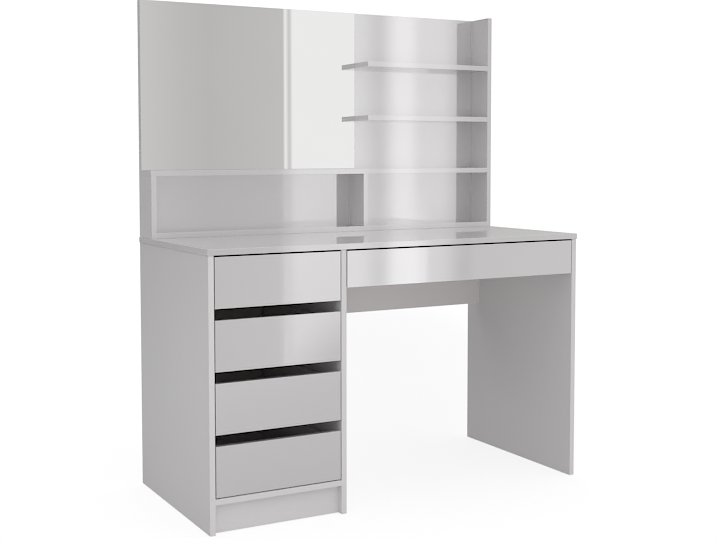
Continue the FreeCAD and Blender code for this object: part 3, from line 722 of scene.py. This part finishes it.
def ball(radius, around=10, down=6):
    rings = [(radius * math.sin(k * math.pi / down), radius * math.cos(k * math.pi / down))
             for k in range(1, down)]
    pts = [(0.0, 0.0, radius)]
    for r, z in rings:
        pts += [(r * math.cos(2 * math.pi * i / around), r * math.sin(2 * math.pi * i / around), z)
                for i in range(around)]
    pts.append((0.0, 0.0, -radius))
    faces = []
    for i in range(around):
        j = (i + 1) % around
        faces.append((0, 1 + i, 1 + j))
        for k in range(len(rings) - 1):
            a, b = 1 + k * around, 1 + (k + 1) * around
            faces.append((a + i, b + i, b + j, a + j))
        a = 1 + (len(rings) - 1) * around
        faces.append((len(pts) - 1, a + j, a + i))
    return pts, faces


def extruded(profile, length, axis="Y"):
    """Closed anticlockwise outline, pulled along Y (outline in X, Z) or along
    X (outline in Y, Z)."""
    n = len(profile)
    if axis == "Y":
        pts = [(u, 0.0, z) for u, z in profile] + [(u, length, z) for u, z in profile]
        flip = False
    else:
        pts = [(0.0, y, z) for y, z in profile] + [(length, y, z) for y, z in profile]
        flip = True
    faces = [tuple(range(n)), tuple(range(2 * n - 1, n - 1, -1))]
    for i in range(n):
        j = (i + 1) % n
        faces.append((i, i + n, j + n, j))
    if flip:
        faces = [f[::-1] for f in faces]
    return pts, faces


def facing(point, outward):
    """Local +Z turned outward, at a point in millimetres."""
    z = Vector(outward)
    x = Vector((0.0, 0.0, 1.0)) if abs(z.z) < 0.5 else Vector((1.0, 0.0, 0.0))
    m = Matrix((x, z.cross(x), z)).transposed().to_4x4()
    m.translation = Vector(point) * 0.001
    return m @ MM


def heap(name, body, items, stands_for, materials, sharp=38.0):
    """One piece of many small parts: items are (part, matrix, material number)."""
    pts, faces, kinds = [], [], []
    for (p, f), m, k in items:
        base = len(pts)
        pts += [tuple(m @ Vector(v)) for v in p]
        flip = m.to_3x3().determinant() < 0
        for q in f:
            q = tuple(base + i for i in q)
            faces.append(q[::-1] if flip else q)
            kinds.append(k)
    me = bpy.data.meshes.new(name)
    me.from_pydata(pts, [], faces)
    for m in materials:
        me.materials.append(m)
    me.polygons.foreach_set("material_index", kinds)
    me.polygons.foreach_set("use_smooth", [True] * len(faces))
    me.update()
    me.set_sharp_from_angle(angle=math.radians(sharp))
    ob = bpy.data.objects.new(name, me)
    scene.collection.objects.link(ob)
    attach(ob, body)
    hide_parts(stands_for)
    return ob


# cam locks with a cross slot, a raised rim and a notched ring
cam_15 = turned([(3.9, -0.35), (4.3, -0.05), (6.3, 0.0), (6.7, -0.30), (7.0, -0.30), (7.25, -0.05),
                 (7.5, -0.30), (7.5, -1.4), (7.2, -1.7), (7.2, -10.9), (6.8, -12.4)],
                cross_outline(0.75, 3.0), 2.2)
cam_12 = turned([(3.2, -0.30), (3.5, -0.05), (5.0, 0.0), (5.35, -0.25), (5.6, -0.25), (5.8, -0.05),
                 (6.0, -0.25), (6.0, -1.2), (5.7, -1.5), (5.7, -8.2), (5.4, -9.4)],
                cross_outline(0.65, 2.5), 1.8)


def cam_bolt(length):
    """Bolt, point upward: thread for the panel, collar, neck and ball head."""
    return turned([(0.9, 0.0), (2.0, -0.8)] + thread(2.5, 2.0, -0.9, -9.4, 1.4)
                  + [(2.1, -9.5), (2.5, -9.7), (2.5, -11.6), (2.1, -11.9), (2.1, -length + 7.0),
                     (1.6, -length + 6.2), (1.6, -length + 3.6), (2.4, -length + 2.6),
                     (2.4, -length + 1.2), (1.4, -length)], count=16)


bolt_36 = cam_bolt(36.1)
bolt_27 = cam_bolt(27.6)
# one-piece connector screw: flat head with a hexagon socket
board_screw = turned([(3.6, 0.0), (4.6, -0.05), (4.8, -0.25), (4.8, -0.9), (4.3, -1.6), (3.4, -2.6),
                      (3.4, -15.2), (2.4, -15.7)] + thread(2.4, 1.75, -15.8, -44.0, 2.3)
                     + [(1.7, -44.2), (0.7, -45.2)], hex_outline(2.0), 2.1, count=24)


def pan_screw(under):
    """Pan-head screw of the slides, by its length under the head."""
    return turned([(1.9, 1.40), (2.35, 1.28), (2.75, 0.98), (2.95, 0.55), (3.0, 0.0), (1.7, 0.0),
                   (1.7, -1.2)] + thread(1.7, 1.15, -1.25, -under + 1.6, 1.1)
                  + [(1.15, -under + 1.5), (0.3, -under)], cross_outline(0.42, 1.5), 0.95, count=16)


rail_screw = pan_screw(11.2)
box_screw = pan_screw(9.7)
back_screw = turned([(2.9, 0.0), (3.35, -0.06), (3.5, -0.3), (3.3, -0.8), (1.7, -2.0), (1.7, -11.0)]
                    + thread(1.7, 1.15, -11.0, -26.0, 1.6) + [(1.1, -26.2), (0.4, -28.0)],
                    cross_outline(0.45, 1.75), 1.2, count=16)

fixings = []
for x, out in ((-592.2, 1), (-215.8, -1), (592.2, -1)):
    for y in (-205.0, 205.0):
        fixings.append((cam_15, facing((x, y, 700.0), (out, 0, 0)), 0))
        fixings.append((bolt_36, facing((x - out * 7.8, y, 743.8), (0, 0, 1)), 1))
for y in (-205.0, 205.0):
    fixings.append((cam_15, facing((-558.0, y, 81.2), (0, 0, -1)), 0))
    fixings.append((bolt_36, facing((-601.8, y, 89.0), (-1, 0, 0)), 1))
    fixings.append((cam_15, facing((-250.0, y, 81.2), (0, 0, -1)), 0))
    fixings.append((bolt_36, facing((-206.2, y, 89.0), (1, 0, 0)), 1))
for lo_x, hi_x, y, levels in ((-592.0, -216.0, -231.0, (40.5,)), (-200.0, 592.0, 218.0, (523.0, 690.0))):
    for z in levels:
        fixings.append((cam_15, facing((lo_x + 34.0, y - 0.2, z), (0, 1, 0)), 0))
        fixings.append((bolt_36, facing((lo_x - 9.8, y - 8.0, z), (-1, 0, 0)), 1))
        fixings.append((cam_15, facing((hi_x - 34.0, y - 0.2, z), (0, 1, 0)), 0))
        fixings.append((bolt_36, facing((hi_x + 9.8, y - 8.0, z), (1, 0, 0)), 1))
for z in (800.0, 1100.0, 1402.0):
    fixings.append((cam_15, facing((558.0, 266.8, z), (0, 1, 0)), 0))
    fixings.append((bolt_36, facing((601.8, 259.0, z), (1, 0, 0)), 1))
for x, z in [(a, 941.0) for a in (100, 420, 640, 1000)] + [(a, b) for a in (800, 1120) for b in (1112.0, 1283.0)] \
        + [(a, 758.0) for a in (120, 600, 1080)] + [(8, 850.0), (723, 850.0)]:
    fixings.append((board_screw, facing((x - 608.0, 266.8, z), (0, 1, 0)), 1))
for x in (460, 800, 1150):
    fixings.append((board_screw, facing((x - 608.0, 259.0, 734.2), (0, 0, -1)), 1))


def arc(cx, cz, r, a0, a1, n=5):
    return [(cx + r * math.cos(math.radians(a0 + (a1 - a0) * k / n)),
             cz + r * math.sin(math.radians(a0 + (a1 - a0) * k / n))) for k in range(n + 1)]


def c_section(web, lip, half, thick, turn_in, bend=1.7):
    """C section from its web at one side to the lips of its two flanges, which
    turn in by turn_in; bends are rounded as in rolled steel."""
    s = 1.0 if lip > web else -1.0

    def side(k):
        outer = [(bend - bend * math.cos(a), half - bend + bend * math.sin(a))
                 for a in (j * math.pi / 10 for j in range(6))]
        reach = abs(lip - web)
        end = [(reach - 0.9, half), (reach - 0.35, half - 0.15), (reach - 0.05, half - 0.55),
               (reach, half - 1.0), (reach, half - turn_in), (reach - 0.7, half - turn_in),
               (reach - 0.7, half - thick - 0.4), (reach - 1.0, half - thick)]
        q = bend - thick + 0.2
        inner = [(thick + q - q * math.sin(a), half - thick - q + q * math.cos(a))
                 for a in (j * math.pi / 10 for j in range(6))]
        return [(u, k * z) for u, z in outer + end + inner]

    top, bottom = side(1.0), side(-1.0)
    # up the outside, along the upper flange and back down the inside, then the
    # lower flange the other way round
    loop = top + bottom[::-1]
    loop = [(web + s * u, z) for u, z in loop]
    area = sum(a[0] * b[1] - b[0] * a[1] for a, b in zip(loop, loop[1:] + loop[:1]))
    return loop if area > 0 else loop[::-1]


def stadium(y, z, half_long, radius, u0, u1, n=8):
    """Prism through a web, for a slot or a round hole."""
    path = arc(y + half_long, z, radius, -90, 90, n) + arc(y - half_long, z, radius, 90, 270, n)
    keep = []
    for p in path:
        if not keep or (Vector(p) - Vector(keep[-1])).length > 1e-6:
            keep.append(p)
    if (Vector(keep[0]) - Vector(keep[-1])).length < 1e-6:
        keep.pop()
    p, f = extruded(keep, u1 - u0, "X")
    return [(x + u0, yy, zz) for x, yy, zz in p], f


def solid_object(name, p, f):
    me = bpy.data.meshes.new(name)
    me.from_pydata(p, [], f)
    me.update()
    bm = bmesh.new()
    bm.from_mesh(me)
    bmesh.ops.recalc_face_normals(bm, faces=bm.faces)
    bm.to_mesh(me)
    bm.free()
    ob = bpy.data.objects.new(name, me)
    scene.collection.objects.link(ob)
    return ob


def pierced(part, cuts, u0, u1):
    """Rail with slots and holes through its web: cuts are (y, z, half length, radius)."""
    blank = solid_object("blank", *part)
    p, f = [], []
    for y, z, half_long, radius in cuts:
        a, b = stadium(y, z, half_long, radius, u0, u1)
        f += [tuple(i + len(p) for i in q) for q in b]
        p += a
    tool = solid_object("tool", p, f)
    cut = blank.modifiers.new("holes", "BOOLEAN")
    cut.operation = "DIFFERENCE"
    cut.solver = "EXACT"
    cut.object = tool
    bpy.context.view_layer.update()
    done = bpy.data.meshes.new_from_object(blank.evaluated_get(bpy.context.evaluated_depsgraph_get()))
    result = ([tuple(v.co) for v in done.vertices], [tuple(q.vertices) for q in done.polygons])
    for ob in (blank, tool):
        me = ob.data
        bpy.data.objects.remove(ob)
        bpy.data.meshes.remove(me)
    bpy.data.meshes.remove(done)
    return result


def slide_set(length, screws, box_screws):
    """The three members of a ball slide of one length, the screws' places along them."""
    run, mid = length - 4.0, length - 10.0
    holes = [(y, 0.0, 0.0, 1.9) for y in screws]
    slots = [(y, 0.0, 6.0, 2.3) for y in (70.0, 130.0, run - 130.0, run - 72.0)]
    ears = [(y, s * 12.0, 4.0, 1.6) for y in (60.0, run * 0.5 + 26.0, run - 60.0) for s in (-1, 1)]
    cabinet = pierced(extruded(c_section(0.0, 8.5, 22.5, 1.2, 2.7), run), holes + slots + ears, -1.0, 2.0)
    slots = [(y, 0.0, 13.0, 3.0) for y in (42.0, 112.0, mid - 112.0, mid - 42.0)]
    ears = [(y, s * 9.5, 0.0, 1.8) for y in (18.0, 78.0, mid * 0.5, mid - 18.0) for s in (-1, 1)]
    middle = pierced(extruded(c_section(3.0, 10.0, 17.8, 1.2, 2.6), mid), slots + ears, 2.0, 5.0)
    holes = [(y, 0.0, 0.0, 1.9) for y in box_screws]
    slots = [(y, 0.0, 5.0, 2.2) for y in (62.0, 96.0, run - 96.0, run - 22.0)]
    ears = [(y, s * 6.6, 3.0, 1.3) for y in (78.0, run - 76.0) for s in (-1, 1)]
    inner = pierced(extruded(c_section(13.0, 5.5, 13.1, 1.2, 2.5), run), holes + slots + ears, 11.0, 14.0)
    return {"cabinet": cabinet, "middle": middle, "drawer": inner, "run": run, "mid": mid}


SHORT_SLIDE = slide_set(400.0, (35.0, 227.0, 355.0), (33.0, 343.0))
LONG_SLIDE = slide_set(450.0, (35.0, 227.0, 419.0), (33.0, 393.0))
steel_ball = ball(1.5)
CAGE = [(-0.55, -1.1), (-0.35, -1.4), (0.35, -1.4), (0.55, -1.1), (0.55, 1.1), (0.35, 1.4),
        (-0.35, 1.4), (-0.55, 1.1)]
LEVER = [(0.0, -2.6), (6.0, -3.9), (13.0, -3.4), (24.0, -2.4), (36.0, 0.6), (48.0, 5.0), (58.0, 8.8),
         (63.0, 9.4), (65.5, 10.2), (65.0, 11.0), (60.0, 10.9), (50.0, 8.6), (38.0, 4.6),
         (26.0, 1.4), (16.0, 0.8), (11.0, 3.0), (5.0, 3.9), (0.0, 2.6), (-1.2, 0.0)]
lever_arm = extruded(LEVER, 2.6, "X")
lever_boss = turned([(2.0, 0.0), (2.9, -0.3), (3.2, -0.8), (3.2, -5.0)], cross_outline(0.5, 1.4), 0.6, count=16)
fixed_rails = []
for d in DRAWERS:
    wide = d == "wide_drawer"
    kit = SHORT_SLIDE if wide else LONG_SLIDE
    lo_b, hi_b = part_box(d + "_slide_rails")
    left_x, right_x = lo_b.x * 1000 - 5.5, hi_b.x * 1000 + 5.5
    y0, z0 = lo_b.y * 1000, (lo_b.z + hi_b.z) * 500
    low = z0 - (36.0 if wide else 50.0)
    up = low + 14.0 + (41.0 if wide else 56.0)
    length = 400.0 if wide else 450.0
    screws_y = (35.0, 227.0, 355.0) if wide else (35.0, 227.0, 419.0)
    moving, between, small = [], [], []
    for x, s in ((left_x, 1.0), (right_x, -1.0)):
        hand = Matrix.Diagonal((s, 1.0, 1.0, 1.0))

        def at(y, z=0.0, u=0.0):
            return Matrix.Translation(Vector((x + s * u, y, z0 + z)) * 0.001) @ hand @ MM

        fixed_rails.append((kit["cabinet"], at(y0), 0))
        for y in screws_y:
            fixings.append((rail_screw, facing((x + s * 1.2, y0 + y, z0), (s, 0, 0)), 1))
        between.append((kit["middle"], at(y0 + 3.0), 0))
        for u, z in ((6.0, 19.4), (6.0, -19.4), (7.7, 15.0), (7.7, -15.0)):
            between.append((extruded(CAGE, kit["mid"] - 8.0), at(y0 + 7.0, z, u), 1))
            steps = int((kit["mid"] - 24.0) / 12.0)
            for i in range(steps + 1):
                between.append((steel_ball, at(y0 + 15.0 + 12.0 * i, z, u), 2))
        moving.append((kit["drawer"], at(y0), 0))
        moving.append((lever_arm, at(y0 + 196.0, 0.0, 7.2), 1))
        moving.append((lever_boss, facing((x + s * 6.8, y0 + 202.0, z0), (-s, 0, 0)), 1))
        for y in (33.0, length - 57.0):
            small.append((box_screw, facing((x + s * 11.8, y0 + y, z0), (-s, 0, 0)), 1))
        face = x + s * 24.8
        small.append((cam_12, facing((face, y0 + 22.0, up), (s, 0, 0)), 0))
        small.append((bolt_27, facing((x + s * 19.0, y0 - 11.8, up), (0, -1, 0)), 1))
        for z in ((58.0, 40.0) if wide else (88.0, 70.0)):
            small.append((back_screw, facing((x + s * 13.2, y0 + length - 8.0, low + 14.0 + z), (-s, 0, 0)), 1))
    heap(d + "_slide_rails_rolled", d, moving, d + "_slide_rails", [rail_steel, cage_plastic])
    heap(d + "_middle_rails_rolled", d + "_middle", between, d + "_middle_rails",
         [rail_steel, cage_plastic, ball_steel])
    heap(d + "_fittings_turned", d, small, d + "_fittings", [cast_zinc, screw_steel])
heap("cabinet_rails_rolled", "carcass", fixed_rails, "cabinet_rails", [rail_steel])
heap("carcass_fittings_turned", "carcass", fixings, "carcass_fittings", [cast_zinc, screw_steel])
glide = turned([(2.2, 0.0), (2.4, -0.35), (3.0, -0.35), (3.2, 0.0), (4.3, 0.0), (5.1, -0.2), (5.7, -0.6),
                (6.0, -1.2), (6.0, -2.0)], count=32)
heap("floor_glides_moulded", "carcass",
     [(glide, facing((x, y, 0.0), (0, 0, -1)), 0) for x in (-600.0, -208.0, 600.0) for y in (-225.0, 227.0)],
     "floor_glides", [plastic])

# --------------------------------------------------------------------------
# A little sharpening of the finished picture
# --------------------------------------------------------------------------
scene.use_nodes = True
ct = scene.node_tree
ct.nodes.clear()
layers = ct.nodes.new("CompositorNodeRLayers")
crisp = ct.nodes.new("CompositorNodeFilter")
crisp.filter_type = "SHARPEN"
crisp.inputs["Fac"].default_value = 0.035
picture = ct.nodes.new("CompositorNodeComposite")
ct.links.new(layers.outputs["Image"], crisp.inputs["Image"])
ct.links.new(crisp.outputs["Image"], picture.inputs["Image"])
